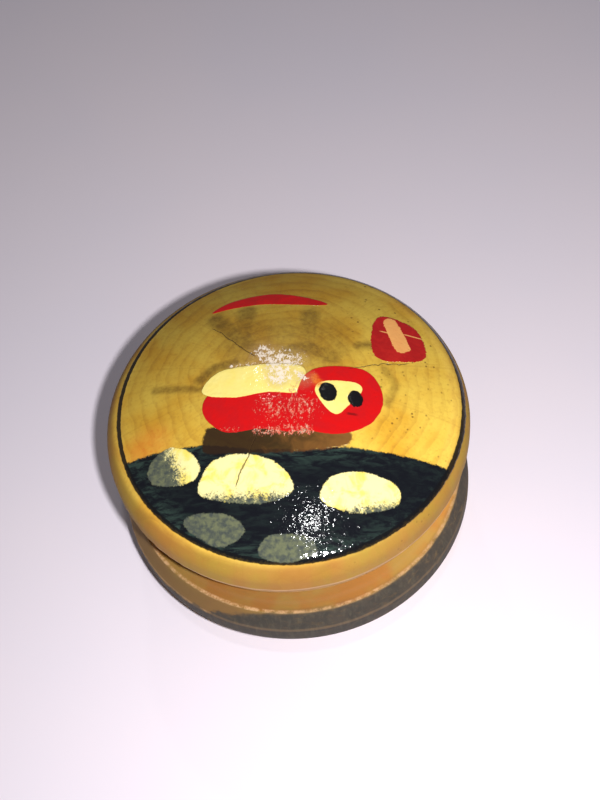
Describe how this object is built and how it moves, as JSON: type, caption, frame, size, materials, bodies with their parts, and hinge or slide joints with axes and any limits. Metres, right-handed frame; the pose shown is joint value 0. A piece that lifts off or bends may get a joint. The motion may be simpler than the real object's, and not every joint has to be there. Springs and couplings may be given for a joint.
{
  "type": "yo yo",
  "caption": "Turned wooden yo-yo: domed halves glued on a dowel axle across a string gap, varnished and hand painted.",
  "frame": {"origin": "middle of the axle, halfway across the string gap", "axes": "+Z along the axle towards the painted upper half, +Y away from the side where the ground of the painting is"},
  "size_m": [0.0551, 0.055, 0.0358],
  "materials": {
    "painted_wood": "glossy varnish over paint",
    "dowel_wood": "bare wood"
  },
  "bodies": {
    "root": {"upper_half": "painted_wood", "lower_half": "painted_wood", "axle_dowel": "dowel_wood"}
  },
  "joints": []
}
